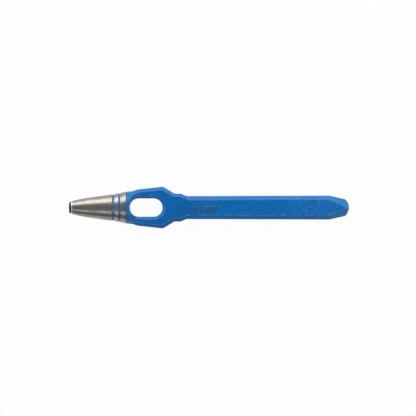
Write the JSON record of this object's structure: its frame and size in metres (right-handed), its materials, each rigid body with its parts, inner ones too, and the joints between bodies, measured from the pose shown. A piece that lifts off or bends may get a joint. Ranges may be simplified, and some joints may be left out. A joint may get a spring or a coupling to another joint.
{
  "type": "drive hole punch",
  "caption": "Forged drive punch with a round hollow cutting nose, an oval eye where the plugs leave, and a bevelled flat shank with a crowned striking end.",
  "frame": {"origin": "centre of the cutting edge, on the tool axis", "axes": "+X along the tool axis from the cutting edge to the struck end, +Z normal to the flat front face that the eye opens through, +Y across the flat"},
  "size_m": [0.11, 0.0164, 0.0128],
  "materials": {
    "bare_steel": "turned bare tool steel with fine marks round the axis",
    "blue_lacquer": "satin blue lacquer over a forged surface"
  },
  "bodies": {
    "root": {"cutting_bell": "bare_steel", "groove_ring_front": "blue_lacquer", "groove_ring_rear": "blue_lacquer", "handle_forging": "blue_lacquer"}
  },
  "joints": []
}
